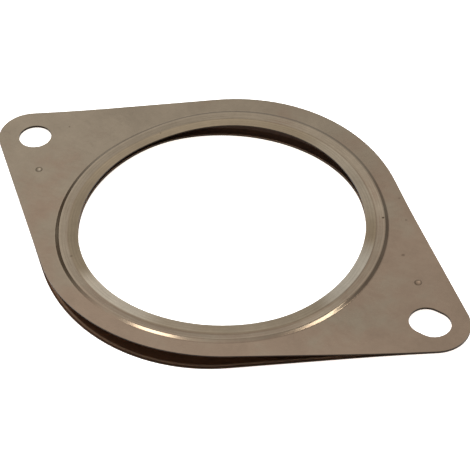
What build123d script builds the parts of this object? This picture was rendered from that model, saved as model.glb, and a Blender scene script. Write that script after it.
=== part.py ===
from build123d import *
from build123d.topology import SkipClean
import os
from math import atan2, cos, degrees, pi, radians, sin, sqrt, tan

# Bore and bolt holes
bore_radius = 38.0
bolt_offset = 64.0
bolt_hole_radius = 4.5
slot_travel = 2.0

# Sheet and its outline
sheet_thickness = 0.35
side_margin = 4.7
ear_margin = 4.85

# Embossed ring, from the bore outwards: lip, dish and wall
lip_width = 2.8
lip_rise = 0.3
dish_width = 2.15
dish_drop = 0.25
wall_width = 1.15
wall_height = 0.5
press_radius = 0.4

# Flanks that spring away from the other sheet on both sides of the clinch line
flat_half_width = 20.0
flank_bend_radius = 100.0
flank_angle = 5.8

# Clinch dimples that join the two sheets
clinch_x = 54.3
clinch_y = 10.1
clinch_radius = 0.85
clinch_depth = 0.25
clinch_clearance = 0.04

# Places that follow from the sizes above
crease_radius = bore_radius + lip_width
crest_radius = crease_radius + dish_width
foot_radius = crest_radius + wall_width
side_radius = foot_radius + side_margin
ear_radius = bolt_hole_radius + ear_margin
ear_offset = bolt_offset + slot_travel / 2
clinch_line_angle = degrees(atan2(clinch_y, clinch_x))
crease_height = wall_height - dish_drop
lip_height = crease_height + lip_rise
blank_reach = ear_offset + ear_radius + sheet_thickness
half_ring_sections = 16
bore_faces = 12


def spring_height(distance):
    """Height of a sheet's inner face over the joint plane, at a distance from the clinch line."""
    bend_reach = flank_bend_radius * sin(radians(flank_angle))
    past_flat = max(abs(distance) - flat_half_width, 0)
    along_bend = min(past_flat, bend_reach)
    along_flank = past_flat - along_bend
    bend_height = flank_bend_radius - sqrt(flank_bend_radius**2 - along_bend**2)
    return bend_height + along_flank * tan(radians(flank_angle))


def sprung_blank():
    """Plain sheet with a flat strip along X, the clinch line, and both flanks bent up."""
    bend_end = flat_half_width + flank_bend_radius * sin(radians(flank_angle))
    flat_end = (flat_half_width, 0)
    flank_start = (bend_end, spring_height(bend_end))
    flank_end = (blank_reach, spring_height(blank_reach))
    half = Line((0, 0), flat_end)
    half += TangentArc(flat_end, flank_start, tangent=(1, 0))
    half += Line(flank_start, flank_end)
    inner = half + mirror(half, about=Plane.YZ)
    outer = Pos(0, sheet_thickness) * inner
    right_end = Line(flank_end, (blank_reach, flank_end[1] + sheet_thickness))
    ends = right_end + mirror(right_end, about=Plane.YZ)
    profile = make_face(inner.edges() + outer.edges() + ends.edges())
    return extrude(Plane.YZ * profile, amount=blank_reach, both=True)


def ring_tool(corners):
    """Solid ring through (radius, height, rounding) corners, following the sprung blank.

    One half is lofted past both its ends, cut off on the clinch line and mirrored, which
    keeps the ring smooth all round.
    """
    wires = []
    for step in range(-2, half_ring_sections + 3):
        turn = pi / half_ring_sections * step
        points = [
            Vector(radius * cos(turn), radius * sin(turn), height + spring_height(radius * sin(turn)))
            for radius, height, rounding in corners
        ]
        wire = Wire.make_polygon(points, close=True)
        for point, (radius, height, rounding) in zip(points, corners):
            if rounding:
                wire = wire.fillet_2d(rounding, wire.vertices().sort_by_distance(point)[:1])
        wires.append(wire)
    half = split(Solid.make_loft(wires), bisect_by=Plane.XZ, keep=Keep.BOTTOM)
    return half + mirror(half, about=Plane.XZ)


def embossing(inside, level, rounding):
    """Lip, dish and wall as corners over a level, with the lip run on to a radius in the bore."""
    run_on = (bore_radius - inside) * lip_rise / lip_width
    return [
        (inside, level + lip_height + run_on, 0),
        (crease_radius, level + crease_height, 0),
        (crest_radius, level + wall_height, rounding),
    ]


def pressed_sheet():
    """Sheet with its ring, before its bore and bolt holes, its inner face on the joint plane."""
    wall_slope = wall_height / wall_width
    core = sheet_thickness / 2
    raised_inside = bore_radius - 1
    raised = ring_tool(
        [(raised_inside, core, 0)]
        + embossing(raised_inside, sheet_thickness, press_radius + sheet_thickness)
        + [(foot_radius + core / wall_slope, core, 0)]
    )
    hollow_inside = raised_inside - 1
    hollow = ring_tool(
        [(hollow_inside, -wall_height, 0)]
        + embossing(hollow_inside, 0, press_radius)
        + [(foot_radius + wall_width, -wall_height, 0)]
    )
    return Rot(0, 0, clinch_line_angle) * (sprung_blank() + raised - hollow)


def punched(sheet):
    """Sheet cut to its outline, bore and bolt holes, the bore's rising wall kept in short faces."""
    outline = make_hull(
        Circle(side_radius).edges()
        + (Pos(ear_offset, 0) * Circle(ear_radius)).edges()
        + (Pos(-ear_offset, 0) * Circle(ear_radius)).edges()
    )
    outline -= Pos(-bolt_offset, 0) * Circle(bolt_hole_radius)
    outline -= Pos(bolt_offset, 0) * SlotCenterToCenter(slot_travel, 2 * bolt_hole_radius)
    arc_size = 360 / bore_faces
    bore_edge = [
        CenterArc((0, 0), bore_radius, clinch_line_angle + arc_size * (turn - 0.5), arc_size)
        for turn in range(bore_faces)
    ]
    bore_area = Pos(0, 0, -side_radius) * make_face(bore_edge)
    bore_plug = extrude(bore_area, amount=2 * side_radius, clean=False)
    cut = sheet & extrude(outline, amount=side_radius, both=True)
    with SkipClean():
        return cut - bore_plug


def clinch_caps(level, growth=0.0):
    """Rounded dimples that reach down from a level, at both clinch places."""
    radius = clinch_radius + growth
    depth = clinch_depth + growth
    ball_radius = (radius**2 + depth**2) / (2 * depth)
    ball = Pos(0, 0, ball_radius - depth) * Sphere(ball_radius)
    cap = split(ball, bisect_by=Plane.XY, keep=Keep.BOTTOM)
    return [Pos(side * clinch_x, side * clinch_y, level) * cap for side in (-1, 1)]


def upper_sheet():
    """Sheet with its ring pressed upwards and its dimples pushed down into the lower sheet."""
    return punched(pressed_sheet() + clinch_caps(0) - clinch_caps(sheet_thickness))


def lower_sheet():
    """Sheet with its ring pressed downwards and pockets that take the upper sheet's dimples."""
    sheet = mirror(pressed_sheet(), about=Plane.XY)
    return punched(sheet + clinch_caps(-sheet_thickness) - clinch_caps(0, clinch_clearance))


os.makedirs("parts", exist_ok=True)
export_step(upper_sheet(), "parts/upper_sheet.step")
export_step(lower_sheet(), "parts/lower_sheet.step")
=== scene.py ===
import bpy
from math import cos, degrees, radians, sin
from types import SimpleNamespace
from mathutils import Matrix, Vector


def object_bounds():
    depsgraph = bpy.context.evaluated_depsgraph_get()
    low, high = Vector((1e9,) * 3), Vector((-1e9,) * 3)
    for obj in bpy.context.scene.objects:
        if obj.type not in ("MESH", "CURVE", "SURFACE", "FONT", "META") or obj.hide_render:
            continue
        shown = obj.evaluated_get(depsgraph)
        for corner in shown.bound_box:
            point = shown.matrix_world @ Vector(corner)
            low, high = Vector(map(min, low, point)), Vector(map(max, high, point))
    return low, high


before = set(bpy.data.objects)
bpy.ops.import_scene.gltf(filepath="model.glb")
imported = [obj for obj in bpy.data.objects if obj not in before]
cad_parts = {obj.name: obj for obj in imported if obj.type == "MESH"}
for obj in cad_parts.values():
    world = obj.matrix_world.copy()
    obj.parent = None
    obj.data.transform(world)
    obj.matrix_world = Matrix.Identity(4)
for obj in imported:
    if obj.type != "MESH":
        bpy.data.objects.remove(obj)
cad_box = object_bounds()

# Camera, as fitted to the photograph: angles in degrees, lengths in metres
CAMERA_AZIMUTH = 37.045
CAMERA_ELEVATION = 44.145
CAMERA_ROLL = -2.471
CAMERA_OFFSET = (-0.0034819, 0.0028956)
CAMERA_DISTANCE = 0.501777
CAMERA_TARGET_HEIGHT = 0.00035
CAMERA_CLIP_START = 0.01

# Its sensor's width in millimetres, and its focal length and image width in pixels
SENSOR_WIDTH = 36.0
FOCAL_PIXELS = 1899.9
IMAGE_SIZE = 470

# Ring round the bore: radii in metres
BORE_RADIUS = 0.038
CREASE_RADIUS = 0.0408
CREST_RADIUS = 0.04295
FOOT_RADIUS = 0.0441

# Slope of the ring's outer side along the radius, from the bore outwards
LIP_SLOPE = -0.107
DISH_SLOPE = 0.116
WALL_SLOPE = -0.435

# The slope at radii in metres; between two of them it changes evenly, as round a bend
RING_SLOPES = [
    (0.0380, LIP_SLOPE),
    (0.0407, LIP_SLOPE),
    (0.0410, DISH_SLOPE),
    (0.0427, DISH_SLOPE),
    (0.04328, WALL_SLOPE),
    (0.04382, WALL_SLOPE),
    (0.0443, 0.0),
]

# A colour ramp holds nothing below 0, so the slopes go through it with this much added
SLOPE_SHIFT = 0.5

# Flanks: direction away from the clinch line, where their bend starts, its radius and final slope
FLANK_DIRECTION = (-0.1829, 0.9831, 0)
FLANK_BEND_START = 0.02
FLANK_BEND_RADIUS = 0.1
FLANK_SLOPE = 0.1016

# Outline: the arc round the ring in metres, and the direction square to the edge from it to an ear
OUTLINE_RADIUS = 0.0488
OUTLINE_NORMAL = (0.6069, 0.7948, 0)

# Clinch dimples: places and radius in metres
DIMPLES = [(-0.0543, -0.0101, 0), (0.0543, 0.0101, 0)]
DIMPLE_RADIUS = 0.00085

# Upright part of a unit normal: a cut edge has less than the first, a side of the sheet more than
# the second
EDGE_UPRIGHT = 0.5
SIDE_UPRIGHT = 0.7

# Zones: the distances in metres, from the bore's axis or a dimple's, where each starts and is full
RING_ZONE = (FOOT_RADIUS, FOOT_RADIUS - 0.0004)
LIP_ZONE = (CREASE_RADIUS + 0.0001, CREASE_RADIUS - 0.0003)
WALL_ZONE = (CREST_RADIUS - 0.0004, CREST_RADIUS - 0.0001)
BORE_RIM_ZONE = (BORE_RADIUS + 0.0005, BORE_RADIUS + 0.0002)
DIMPLE_ZONE = (DIMPLE_RADIUS * 1.15, DIMPLE_RADIUS * 0.9)
PAST_DIMPLE_ZONE = (DIMPLE_RADIUS, DIMPLE_RADIUS + 0.0003)

# Lines: the radius of their middle, and how far from it they are still full and gone, in metres
CREASE_LINE = (CREASE_RADIUS, 0.00005, 0.00028)
CREASE_SIDE_LINE = (CREASE_RADIUS - 0.00045, 0.00005, 0.00025)
CREASE_SHADE_BAND = (CREASE_RADIUS + 0.0002, 0.0001, 0.0008)
CREST_LINE = (CREST_RADIUS - 0.0002, 0.00005, 0.0004)
OUTLINE_RIM_LINE = (OUTLINE_RADIUS - 0.0007, 0.00015, 0.0004)
DIMPLE_FOOT_LINE = (DIMPLE_RADIUS, 0.00008, 0.00025)

# Colours of the steel, and of its painted sheen and painted shade
STEEL_WARM = (0.501, 0.387, 0.295)
STEEL_OLIVE = (0.473, 0.403, 0.312)
# Painted sheen on the lip and in a dimple
STEEL_PAINTED_SHEEN = (0.8, 0.748, 0.64)
# Painted shade on the lip
STEEL_PAINTED_SHADE = (0.26, 0.215, 0.155)
STEEL_LIP = (0.46, 0.374, 0.258)
STAIN_BROWN = (0.12, 0.08, 0.05)
# Painted shade along the crease
CREASE_SHADE_BROWN = (0.26, 0.19, 0.12)
# Painted shade on the sheets' inner sides, between them
GAP_SHADE_BROWN = (0.17, 0.1, 0.062)
# Darker sheared steel of the cut edges, painted near black as shade
EDGE_DARK_AND_SHADE = (0.02, 0.014, 0.01)

# Patterns in the steel: scale, detail and roughness of their noise
BROAD_MOTTLING = (110, 3, 0.6)
WIDE_MOTTLING = (30, 1, 0.5)
FINE_GRAIN = (900, 3, 0.7)
ROLLING_STREAKS = (1, 2, 0.5)
RING_MARKS = (1, 3, 0.65)
MARK_WANDER = (2, 1, 0.5)
WAVINESS = (60, 1, 0.4)

# The streaks run along X: how fine they are along each axis
STREAK_FINENESS = (25, 700, 0)

# The press's marks run round the bore: how fine they are along the radius, and how they wander
MARK_FINENESS = 3600
WANDER_FINENESS = 1.6
WANDER_REACH = 3

# The steel turns from warm to olive between these sums of both mottlings, and in the ring between
# these values of its marks
OLIVE_MOTTLING = (0.8, 1.2)
OLIVE_MARKS = (0.4, 0.62)

# The steel is more olive this way across the sheet, by this much a metre
OLIVE_LEAN = (-4.5, 2.0, 0)

# How much of the tone each pattern changes
GRAIN_TONE = 0.18
MOTTLING_TONE = 0.36
STREAK_TONE = 0.05
MARK_TONE = 0.7

# Tone of the painted highlights beside the ring's crest and crease, of the painted shade at the
# dimples' feet and of the deeper painted shade on the ring's inner side
BEND_HIGHLIGHT_TONE = 1.1
DIMPLE_FOOT_SHADE = 0.58
INNER_RING_SHADE = 0.5

# Painted sheen and shade on the dish round the bore: a side, the cosines from it between which
# the tone changes, and what is added at the first and at the second
DISH_SHEEN_AND_SHADE = [
    ((0.985, 0.173, 0), 0.985, 0.85, -0.14, 0.12),
    ((0.173, 0.985, 0), 0.75, 0.95, 0.0, 0.1),
]

# Strength of the lip's colour, of the painted shade on the crease and of the shade band beside it
LIP_COVER = 0.8
CREASE_SHADE_COVER = 0.22
CREASE_SHADE_BAND_COVER = 0.4

# The painted shade band beside the crease: its side of the bore, and the cosines from it where
# it starts and where it is full
CREASE_SHADE_BAND_SIDE = (0.57, -0.82, 0)
CREASE_SHADE_BAND_FADE = (0.5, 0.95)

# Painted shade and painted reflections on the lip: angle of the middle and half width in degrees,
# colour, strength
LIP_SHEEN_AND_SHADE = [
    (215, 40, STEEL_PAINTED_SHADE, 0.6),
    (62, 32, STEEL_PAINTED_SHEEN, 0.36),
    (330, 48, STEEL_PAINTED_SHEEN, 0.2),
    (262, 24, STEEL_PAINTED_SHEEN, 0.75),
    (288, 12, STEEL_PAINTED_SHEEN, 0.22),
    (4, 22, STEEL_PAINTED_SHEEN, 1.0),
]

# Such a place is full within its half width divided by this
LIP_PLACE_CORE = 6

# Spots on the upper sheet, stains and a painted highlight in a dimple: place and radius in metres,
# strength, colour
STAINS_AND_GLINT = [
    (-0.0585, 0.0084, 0.00025, 0.45, STAIN_BROWN),
    (-0.0352, 0.0199, 0.00022, 0.6, STAIN_BROWN),
    (0.0344, 0.0251, 0.00032, 0.9, STAIN_BROWN),
    (0.0397, 0.0281, 0.00035, 0.3, STAIN_BROWN),
    (0.0339, 0.0340, 0.00030, 0.35, STAIN_BROWN),
    (0.0459, 0.0165, 0.00045, 0.4, STAIN_BROWN),
    (-0.0254, -0.0318, 0.00040, 0.4, STAIN_BROWN),
    # Painted highlight in the left dimple
    (-0.05425, -0.01, 0.0004, 0.6, STEEL_PAINTED_SHEEN),
]

# A spot is gone at the first share of its radius and full at the second
SPOT_REACH = 1.5
SPOT_CORE = 0.5

# Roughness of the steel, how much the mottling changes it, and what each zone adds
STEEL_ROUGHNESS = 0.22
MOTTLING_ROUGHNESS = 0.06
ZONE_ROUGHNESS = {"inner": 0.25, "cut_edge": 0.3, "dimple": 0.25, "wall": -0.06}

# Height of the sheet's waves and of the ring's marks in metres
WAVE_HEIGHT = 0.00003
MARK_HEIGHT = 0.000004

# Studio round the part: brightness by the sine of the elevation
SKY = [
    (0.0, 0.36),
    (0.34, 0.41),
    (0.45, 0.48),
    (0.59, 0.63),
    (0.67, 0.58),
    (0.73, 0.51),
    (0.79, 0.5),
    (0.87, 0.38),
    (0.94, 0.45),
    (1.0, 0.54),
]
SKY_TINT = (1.0, 0.95, 0.9)

# The studio is brighter to the camera's left by this share, and darker to its right
SKY_LEAN = 0.6

# Dark gaps in the studio: the two ends as azimuth from the camera's and elevation, half width and
# softness of the ends, all in degrees, and darkness
DARK_GAPS = [
    ((-156, 11), (-135, 43), 4, 14, 0.95),
    ((115, 52), (146, 25), 3, 8, 0.57),
]
DARK_GAP_BROWN = (0.03, 0.018, 0.006)

# Softness of the gaps' long edges in degrees
DARK_GAP_EDGE = 7

# Softboxes: name, azimuth from the camera's, elevation, width and height in metres, and power
SOFTBOXES = [
    ("softbox_left", -118, 71.5, (0.34, 0.25), 0.9),
    ("softbox_right", 112, 61.5, (0.31, 0.085), 0.44),
]
SOFTBOX_DISTANCE = 1.2
SOFTBOX_COLOUR = (1, 0.93, 0.82)

# Floor: its half width and how far it lies under the gasket in metres, its white and its own light
FLOOR_HALF_WIDTH = 1.5
FLOOR_CLEARANCE = 0.0001
FLOOR_WHITE = (0.9, 0.9, 0.9, 1)
FLOOR_ROUGHNESS = 0.9
FLOOR_GLOW = 0.75

# Light straight above the floor: height, width and depth in metres, and power
FLOOR_LIGHT_HEIGHT = 1.5
FLOOR_LIGHT_SIZE = (1.6, 1.6)
FLOOR_LIGHT_POWER = 35


def direction(azimuth, elevation):
    """Unit vector from the gasket towards a place, its azimuth measured like the camera's."""
    azimuth, elevation = radians(azimuth), radians(elevation)
    return Vector((sin(azimuth) * cos(elevation), -cos(azimuth) * cos(elevation), sin(elevation)))


def place_camera():
    """Camera at the photograph's viewing angle."""
    back = direction(CAMERA_AZIMUTH, CAMERA_ELEVATION)
    right = Vector((cos(radians(CAMERA_AZIMUTH)), sin(radians(CAMERA_AZIMUTH)), 0))
    roll = Matrix.Rotation(-radians(CAMERA_ROLL), 3, "Z")
    to_camera = roll @ Matrix((right, back.cross(right), back))
    offset = Vector((*CAMERA_OFFSET, -CAMERA_DISTANCE))
    place = to_camera.transposed() @ -offset + Vector((0, 0, CAMERA_TARGET_HEIGHT))
    data = bpy.data.cameras.new("photo_camera")
    data.sensor_width = SENSOR_WIDTH
    data.lens = FOCAL_PIXELS / IMAGE_SIZE * SENSOR_WIDTH
    data.clip_start = CAMERA_CLIP_START
    camera = bpy.data.objects.new("photo_camera", data)
    camera.matrix_world = Matrix.Translation(place) @ to_camera.transposed().to_4x4()
    bpy.context.scene.collection.objects.link(camera)
    bpy.context.scene.camera = camera


class Nodes:
    """Short names for the nodes of one material or world."""

    def __init__(self, tree):
        self.tree = tree

    def add(self, kind, **values):
        node = self.tree.nodes.new(kind)
        for name, value in values.items():
            setattr(node, name, value)
        return node

    def feed(self, socket, value):
        """Link a socket to another one, or set it to a number or tuple."""
        if isinstance(value, bpy.types.NodeSocket):
            self.tree.links.new(value, socket)
        else:
            socket.default_value = value

    def math(self, operation, *values):
        node = self.add("ShaderNodeMath", operation=operation)
        for socket, value in zip(node.inputs, values):
            self.feed(socket, value)
        return node.outputs[0]

    def vector(self, operation, *values):
        node = self.add("ShaderNodeVectorMath", operation=operation)
        for socket, value in zip(node.inputs, values):
            self.feed(socket, value)
        gives_number = operation in ("DOT_PRODUCT", "LENGTH", "DISTANCE")
        return node.outputs["Value" if gives_number else "Vector"]

    def scaled(self, vector, factor):
        node = self.add("ShaderNodeVectorMath", operation="SCALE")
        self.feed(node.inputs[0], vector)
        self.feed(node.inputs["Scale"], factor)
        return node.outputs["Vector"]

    def fade(self, value, start, end, low=0.0, high=1.0):
        """Smooth change from low to high as value goes from start to end."""
        node = self.add("ShaderNodeMapRange", interpolation_type="SMOOTHSTEP")
        for socket, number in zip(node.inputs, (value, start, end, low, high)):
            self.feed(socket, number)
        return node.outputs[0]

    def band(self, value, middle, inner, outer):
        """1 within inner of the middle, falling to 0 at outer."""
        return self.fade(self.math("ABSOLUTE", self.math("SUBTRACT", value, middle)), outer, inner)

    def side(self, outward, towards, start, end, low=0.0, high=1.0):
        """Smooth change with the cosine of the angle between two unit vectors."""
        return self.fade(self.vector("DOT_PRODUCT", outward, towards), start, end, low, high)

    def swing(self, noise, amount):
        """Change of up to half the amount either way that follows a noise between 0 and 1."""
        return self.math("MULTIPLY", self.math("SUBTRACT", noise, 0.5), amount)

    def around_one(self, noise, amount):
        """Factor near 1 that follows a noise between 0 and 1."""
        return self.math("ADD", self.swing(noise, amount), 1.0)

    def mix(self, factor, first, second, blend="MIX"):
        """Colour mix; colours are tuples of three or sockets."""
        node = self.add("ShaderNodeMix", data_type="RGBA", blend_type=blend)
        self.feed(node.inputs["Factor"], factor)
        for name, value in (("A", first), ("B", second)):
            self.feed(node.inputs[name], (*value, 1) if isinstance(value, tuple) else value)
        return node.outputs["Result"]

    def noise(self, where, scale, detail, roughness):
        node = self.add("ShaderNodeTexNoise")
        self.feed(node.inputs["Vector"], where)
        for name, value in (("Scale", scale), ("Detail", detail), ("Roughness", roughness)):
            node.inputs[name].default_value = value
        return node.outputs["Fac"]

    def ramp(self, value, stops):
        """Colour ramp through (position, grey) stops."""
        node = self.add("ShaderNodeValToRGB")
        elements = node.color_ramp.elements
        while len(elements) < len(stops):
            elements.new(0.5)
        for element, (position, grey) in zip(elements, stops):
            element.position = position
            element.color = (grey, grey, grey, 1)
        self.feed(node.inputs[0], value)
        return node.outputs[0]

    def bump(self, normal, height, distance):
        """Normal tilted by a height between 0 and 1 that stands for a distance in metres."""
        node = self.add("ShaderNodeBump")
        node.inputs["Strength"].default_value = 1
        node.inputs["Distance"].default_value = distance
        self.feed(node.inputs["Height"], height)
        self.feed(node.inputs["Normal"], normal)
        return node.outputs[0]


def rims(n, place, radius):
    """Mask of a line just inside the outline and of the bore's rim."""
    along_x = n.math("ABSOLUTE", n.vector("DOT_PRODUCT", place, (1, 0, 0)))
    past_arc = n.math("GREATER_THAN", along_x, n.math("MULTIPLY", radius, OUTLINE_NORMAL[0]))
    tangent_reach = n.vector("DOT_PRODUCT", n.vector("ABSOLUTE", place), OUTLINE_NORMAL)
    past_radius = n.math("SUBTRACT", tangent_reach, radius)
    reach = n.math("ADD", radius, n.math("MULTIPLY", past_arc, past_radius))
    return n.math("MAXIMUM", n.band(reach, *OUTLINE_RIM_LINE), n.fade(radius, *BORE_RIM_ZONE))


def sheet_zones(n, inner_side):
    """Place on the sheet, and masks of its sides, cut edges, ring, bend highlight lines, rims and
    dimples.
    """
    at = SimpleNamespace()
    at.place = n.add("ShaderNodeTexCoord").outputs["Object"]
    at.flat_place = n.vector("MULTIPLY", at.place, (1, 1, 0))
    at.radius = n.vector("LENGTH", at.flat_place)
    at.outward = n.vector("NORMALIZE", at.flat_place)

    geometry = n.add("ShaderNodeNewGeometry")
    at.normal = geometry.outputs["Normal"]
    normal_axes = n.add("ShaderNodeSeparateXYZ")
    n.feed(normal_axes.inputs[0], geometry.outputs["True Normal"])
    facing = n.math("MULTIPLY", normal_axes.outputs["Z"], float(inner_side))
    at.inner = n.fade(facing, EDGE_UPRIGHT, SIDE_UPRIGHT)
    at.outer = n.fade(facing, -EDGE_UPRIGHT, -SIDE_UPRIGHT)
    at.cut_edge = n.fade(n.math("ABSOLUTE", facing), SIDE_UPRIGHT, EDGE_UPRIGHT)

    at.ring = n.fade(at.radius, *RING_ZONE)
    at.lip = n.fade(at.radius, *LIP_ZONE)
    at.wall = n.math("MULTIPLY", n.fade(at.radius, *WALL_ZONE), at.ring)
    at.lip_and_dish = n.math("SUBTRACT", at.ring, at.wall)
    at.dish = n.math("SUBTRACT", at.lip_and_dish, at.lip)
    at.crease = n.band(at.radius, *CREASE_LINE)
    crest = n.band(at.radius, *CREST_LINE)
    at.bends = n.math("MAXIMUM", crest, n.band(at.radius, *CREASE_SIDE_LINE))
    at.rims = rims(n, at.place, at.radius)

    dimple_away = n.math("MINIMUM", *(n.vector("DISTANCE", at.flat_place, d) for d in DIMPLES))
    at.dimple = n.fade(dimple_away, *DIMPLE_ZONE)
    at.past_dimple = n.fade(dimple_away, *PAST_DIMPLE_ZONE)
    # Dimples' feet, for their painted shade
    at.dimple_foot = n.band(dimple_away, *DIMPLE_FOOT_LINE)
    return at


def steel_patterns(n, at):
    """Mottling, grain, rolling streaks, waviness and the press's marks round the ring."""
    wander = n.noise(n.scaled(at.outward, WANDER_FINENESS), *MARK_WANDER)
    marks_place = n.add("ShaderNodeCombineXYZ")
    n.feed(marks_place.inputs["X"], n.math("MULTIPLY", at.radius, MARK_FINENESS))
    n.feed(marks_place.inputs["Y"], n.math("MULTIPLY", wander, WANDER_REACH))
    streaks_place = n.vector("MULTIPLY", at.place, STREAK_FINENESS)
    return SimpleNamespace(
        broad=n.noise(at.place, *BROAD_MOTTLING),
        wide=n.noise(at.place, *WIDE_MOTTLING),
        grain=n.noise(at.place, *FINE_GRAIN),
        streaks=n.noise(streaks_place, *ROLLING_STREAKS),
        marks=n.noise(marks_place.outputs[0], *RING_MARKS),
        waves=n.noise(at.place, *WAVINESS),
    )


def steel_hue(n, at, pattern):
    """Warm steel, olive in its mottling and ring, a worn yellower lip with painted sheen and
    shade, and painted shade along the crease.
    """
    lean = n.vector("DOT_PRODUCT", at.place, OLIVE_LEAN)
    mottling = n.math("ADD", n.math("ADD", pattern.broad, pattern.wide), lean)
    olive_ring = n.math("MULTIPLY", at.ring, n.fade(pattern.marks, *OLIVE_MARKS))
    olive = n.math("ADD", n.fade(mottling, *OLIVE_MOTTLING), olive_ring)
    colour = n.mix(n.math("MINIMUM", olive, 1), STEEL_WARM, STEEL_OLIVE)
    colour = n.mix(n.math("MULTIPLY", at.lip, LIP_COVER), colour, STEEL_LIP)
    # Painted reflections and painted shade on the lip, by angle round the bore
    for angle, half_width, tint, strength in LIP_SHEEN_AND_SHADE:
        middle = (cos(radians(angle)), sin(radians(angle)), 0)
        starts, full = cos(radians(half_width)), cos(radians(half_width / LIP_PLACE_CORE))
        cover = n.side(at.outward, middle, starts, full, 0.0, strength)
        colour = n.mix(n.math("MULTIPLY", cover, at.lip), colour, tint)
    # Painted shade along the crease, and a wider painted shade band beside it on the side towards
    # the camera
    shaded_side = n.side(at.outward, CREASE_SHADE_BAND_SIDE, *CREASE_SHADE_BAND_FADE)
    crease_band_shade = n.math("MULTIPLY", n.band(at.radius, *CREASE_SHADE_BAND), shaded_side)
    crease_band_shade = n.math("MULTIPLY", crease_band_shade, CREASE_SHADE_BAND_COVER)
    brown = n.math("MAXIMUM", crease_band_shade, n.math("MULTIPLY", at.crease, CREASE_SHADE_COVER))
    return n.mix(brown, colour, CREASE_SHADE_BROWN)


def steel_tone(n, at, pattern):
    """Factor near 1 for the patterns, the painted highlights by the crest and crease, the painted
    sheen and shade on the dish and the painted shade at the dimples' feet.
    """
    dish = n.math("ADD", *(n.side(at.outward, *change) for change in DISH_SHEEN_AND_SHADE))
    tone = n.around_one(pattern.grain, GRAIN_TONE)
    for factor in (
        n.around_one(pattern.broad, MOTTLING_TONE),
        n.around_one(pattern.streaks, STREAK_TONE),
        n.around_one(pattern.marks, n.math("MULTIPLY", at.lip_and_dish, MARK_TONE)),
        n.fade(at.bends, 0, 1, 1.0, BEND_HIGHLIGHT_TONE),
        n.math("ADD", n.math("MULTIPLY", at.dish, dish), 1),
        n.fade(at.dimple_foot, 0, 1, 1.0, DIMPLE_FOOT_SHADE),
    ):
        tone = n.math("MULTIPLY", tone, factor)
    return tone


def with_stains_and_glint(n, at, colour):
    """Colour with the upper sheet's small stains and the painted highlight in its left dimple."""
    for x, y, radius, strength, tint in STAINS_AND_GLINT:
        away = n.vector("DISTANCE", at.flat_place, (x, y, 0))
        cover = n.fade(away, radius * SPOT_REACH, radius * SPOT_CORE, 0.0, strength)
        colour = n.mix(cover, colour, tint)
    return colour


def steel_roughness(n, at, pattern):
    """Satin, duller on the inner side, the cut edges and the dimples, glossier on the wall."""
    roughness = n.math("ADD", n.swing(pattern.broad, MOTTLING_ROUGHNESS), STEEL_ROUGHNESS)
    for zone, amount in ZONE_ROUGHNESS.items():
        roughness = n.math("ADD", roughness, n.math("MULTIPLY", getattr(at, zone), amount))
    return roughness


def pressed_normal(n, at, inner_side):
    """Normal of the outer side from the pressed shape itself, free of the facets of its mesh."""
    first, last = RING_SLOPES[0][0], RING_SLOPES[-1][0]
    span = last - first
    stops = [((radius - first) / span, slope + SLOPE_SHIFT) for radius, slope in RING_SLOPES]
    along = n.math("DIVIDE", n.math("SUBTRACT", at.radius, first), span)
    ring_slope = n.math("SUBTRACT", n.ramp(along, stops), SLOPE_SHIFT)
    distance = n.vector("DOT_PRODUCT", at.flat_place, FLANK_DIRECTION)
    past_start = n.math("SUBTRACT", n.math("ABSOLUTE", distance), FLANK_BEND_START)
    flank_slope = n.math("MAXIMUM", n.math("DIVIDE", past_start, FLANK_BEND_RADIUS), 0)
    flank_slope = n.math("MINIMUM", flank_slope, FLANK_SLOPE)
    flank_slope = n.math("MULTIPLY", flank_slope, n.math("SIGN", distance))
    flank_rise = n.scaled(FLANK_DIRECTION, flank_slope)
    rise = n.vector("ADD", n.scaled(at.outward, ring_slope), flank_rise)
    return n.vector("NORMALIZE", n.vector("SUBTRACT", (0, 0, -float(inner_side)), rise))


def steel_relief(n, at, pattern, inner_side):
    """Normal of the pressed shape with the sheet's slight waves and the ring's fine marks."""
    shape = n.add("ShaderNodeMix", data_type="VECTOR")
    n.feed(shape.inputs["Factor"], n.math("MULTIPLY", at.outer, at.past_dimple))
    n.feed(shape.inputs["A"], at.normal)
    n.feed(shape.inputs["B"], pressed_normal(n, at, inner_side))
    wavy = n.bump(shape.outputs["Result"], pattern.waves, WAVE_HEIGHT)
    return n.bump(wavy, n.math("MULTIPLY", pattern.marks, at.lip_and_dish), MARK_HEIGHT)


def sheet_steel(name, inner_side):
    """Thin rolled stainless sheet; its inner side faces up (1) or down (-1) and is painted dark as
    the shade between the sheets.
    """
    material = bpy.data.materials.new(name)
    material.use_nodes = True
    shader = material.node_tree.nodes["Principled BSDF"]
    n = Nodes(material.node_tree)
    at = sheet_zones(n, inner_side)
    pattern = steel_patterns(n, at)

    # The outer side first, then the inner side in painted shade, left in the steel's colour at its
    # rims, and the cut edges
    colour = n.scaled(steel_hue(n, at, pattern), steel_tone(n, at, pattern))
    if inner_side < 0:
        colour = with_stains_and_glint(n, at, colour)
    gap_shade = n.scaled(GAP_SHADE_BROWN, n.fade(at.ring, 0, 1, 1.0, INNER_RING_SHADE))
    colour = n.mix(at.inner, colour, gap_shade)
    colour = n.mix(n.math("MULTIPLY", at.inner, at.rims), colour, STEEL_WARM)
    # Cut edges: darker sheared steel, painted near black as shade
    colour = n.mix(at.cut_edge, colour, EDGE_DARK_AND_SHADE)

    n.feed(shader.inputs["Base Color"], colour)
    n.feed(shader.inputs["Roughness"], steel_roughness(n, at, pattern))
    n.feed(shader.inputs["Normal"], steel_relief(n, at, pattern, inner_side))
    shader.inputs["Metallic"].default_value = 1
    return material


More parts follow.
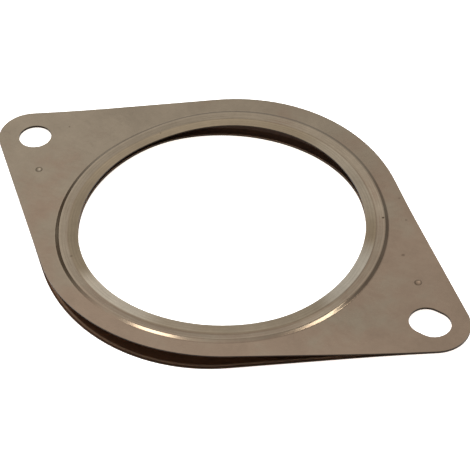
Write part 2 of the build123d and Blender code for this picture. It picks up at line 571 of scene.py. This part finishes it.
def floor():
    """Plain white floor just under the gasket."""
    height = cad_box[0][2] - FLOOR_CLEARANCE
    half = FLOOR_HALF_WIDTH
    mesh = bpy.data.meshes.new("floor")
    corners = [(-half, -half), (half, -half), (half, half), (-half, half)]
    mesh.from_pydata([(x, y, height) for x, y in corners], [], [(0, 1, 2, 3)])
    material = bpy.data.materials.new("floor_white")
    material.use_nodes = True
    shader = material.node_tree.nodes["Principled BSDF"]
    shader.inputs["Base Color"].default_value = FLOOR_WHITE
    shader.inputs["Roughness"].default_value = FLOOR_ROUGHNESS
    shader.inputs["Specular IOR Level"].default_value = 0
    shader.inputs["Emission Color"].default_value = (1, 1, 1, 1)
    shader.inputs["Emission Strength"].default_value = FLOOR_GLOW
    mesh.materials.append(material)
    obj = bpy.data.objects.new("floor", mesh)
    bpy.context.scene.collection.objects.link(obj)
    return obj


def soft_light(name, azimuth, elevation, distance, size, power):
    """White softbox aimed at the gasket; its size is its width and height."""
    away = direction(azimuth, elevation)
    data = bpy.data.lights.new(name, "AREA")
    data.shape = "RECTANGLE"
    data.size, data.size_y = size
    data.energy = power
    light = bpy.data.objects.new(name, data)
    light.location = away * distance
    light.rotation_euler = away.to_track_quat("Z", "Y").to_euler()
    bpy.context.scene.collection.objects.link(light)
    return light


def floor_light(white_floor):
    """Broad light from above on the floor alone, which the steel doesn't mirror either."""
    light = soft_light(
        "floor_light", 0, 90, FLOOR_LIGHT_HEIGHT, FLOOR_LIGHT_SIZE, FLOOR_LIGHT_POWER
    )
    light.visible_glossy = False
    floor_only = bpy.data.collections.new("floor_only")
    floor_only.objects.link(white_floor)
    light.light_linking.receiver_collection = floor_only


def dark_gap(n, towards, ends, half_width, end_fade, depth):
    """How dark a straight gap between two (azimuth, elevation) ends makes the studio."""
    start, end = (direction(CAMERA_AZIMUTH + azimuth, elevation) for azimuth, elevation in ends)
    across = tuple(start.cross(end).normalized())
    aside = n.math("ABSOLUTE", n.vector("DOT_PRODUCT", towards, across))
    edges = [sin(radians(angle)) for angle in (half_width + DARK_GAP_EDGE, half_width)]
    half_length = degrees(start.angle(end)) / 2
    tips = [cos(radians(angle)) for angle in (half_length + end_fade, half_length - end_fade)]
    middle = tuple((start + end).normalized())
    cover = n.math("MULTIPLY", n.fade(aside, *edges), n.side(towards, middle, *tips))
    return n.math("MULTIPLY", cover, depth)


def studio_world():
    """Soft surroundings: warm grey, brighter to the camera's left, with two dark gaps."""
    world = bpy.data.worlds.new("studio")
    world.use_nodes = True
    background = world.node_tree.nodes["Background"]
    n = Nodes(world.node_tree)
    towards = n.add("ShaderNodeTexCoord").outputs["Generated"]
    axes = n.add("ShaderNodeSeparateXYZ")
    n.feed(axes.inputs[0], towards)
    colour = n.mix(1.0, n.ramp(axes.outputs["Z"], SKY), SKY_TINT, "MULTIPLY")
    dark = 0.0
    for start, end, *shape in DARK_GAPS:
        dark = n.math("ADD", dark, dark_gap(n, towards, (start, end), *shape))
    n.feed(background.inputs["Color"], n.mix(dark, colour, DARK_GAP_BROWN))
    to_left = n.vector("DOT_PRODUCT", towards, tuple(direction(CAMERA_AZIMUTH - 90, 0)))
    strength = n.math("ADD", n.math("MULTIPLY", to_left, SKY_LEAN), 1)
    n.feed(background.inputs["Strength"], strength)
    bpy.context.scene.world = world


materials = {
    "upper_sheet": sheet_steel("upper_steel", -1),
    "lower_sheet": sheet_steel("lower_steel", 1),
}
for name, material in materials.items():
    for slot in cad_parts[name].material_slots:
        slot.material = material

place_camera()
white_floor = floor()
studio_world()
for name, azimuth, elevation, size, power in SOFTBOXES:
    light = soft_light(name, CAMERA_AZIMUTH + azimuth, elevation, SOFTBOX_DISTANCE, size, power)
    light.data.color = SOFTBOX_COLOUR
floor_light(white_floor)
bpy.context.scene.view_settings.view_transform = "Standard"
